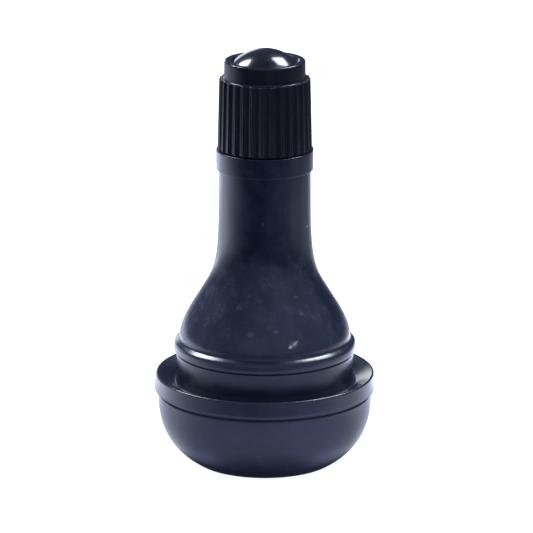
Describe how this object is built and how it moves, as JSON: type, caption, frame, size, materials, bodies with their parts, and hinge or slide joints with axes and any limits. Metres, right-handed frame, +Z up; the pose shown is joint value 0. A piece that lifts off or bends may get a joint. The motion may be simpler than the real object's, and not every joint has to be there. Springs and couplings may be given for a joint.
{
  "type": "tyre valve",
  "caption": "Snap-in rubber tyre valve for a tubeless wheel: grooved rubber base, bell and neck moulded on a brass stem with a sprung core, closed by a fluted screw-on dust cap.",
  "frame": {"origin": "centre of the flat underside of the rubber base, which the valve stands on", "axes": "+Z up along the stem towards the cap; the valve is a body of revolution, so +X and +Y only fix the flutes and the core's bridge, which runs along X"},
  "size_m": [0.0242, 0.0242, 0.0459],
  "materials": {
    "cap_plastic": "satin black moulded plastic",
    "body_rubber": "semi-matte blue-black moulded rubber",
    "seal_rubber": "matte black rubber",
    "stem_brass": "turned brass",
    "core_brass": "turned brass, lightly plated",
    "pin_brass": "drawn brass wire",
    "spring_steel": "drawn stainless wire",
    "gasket_plastic": "waxy red fluoroplastic"
  },
  "bodies": {
    "valve_body": {"rubber_body": "body_rubber", "brass_stem": "stem_brass"},
    "cap_ring": {"cap_seal": "seal_rubber"},
    "cap": {"valve_cap": "cap_plastic"},
    "core": {"core_barrel": "core_brass", "barrel_gasket": "gasket_plastic", "core_spring": "spring_steel"},
    "plug": {"core_plug": "core_brass"},
    "pin": {"core_pin": "pin_brass", "plunger_cup": "core_brass", "cup_gasket": "seal_rubber"}
  },
  "joints": [
    {"name": "cap_lift", "type": "slide", "parent": "valve_body", "child": "cap_ring", "axis": [0, 0, 1], "range_m": [0, 0.00953]},
    {"name": "cap_turn", "type": "hinge", "parent": "cap_ring", "child": "cap", "pos_m": [0, 0, 0.04], "axis": [0, 0, 1], "range_deg": [0, 4320]},
    {"name": "core_lift", "type": "slide", "parent": "valve_body", "child": "core", "axis": [0, 0, 1], "range_m": [0, 0.00247]},
    {"name": "core_turn", "type": "hinge", "parent": "core", "child": "plug", "pos_m": [0, 0, 0.037], "axis": [0, 0, 1], "range_deg": [0, 1260]},
    {"name": "pin_press", "type": "slide", "parent": "core", "child": "pin", "axis": [0, 0, -1], "range_m": [0, 0.0012], "stiffness_N_per_m": 1500, "deforming": ["core_spring"]}
  ],
  "couplings": [
    {"joint": "cap_turn", "follows": "cap_lift", "rad_per_m": 7915.8},
    {"joint": "core_turn", "follows": "core_lift", "rad_per_m": 8905.2}
  ]
}
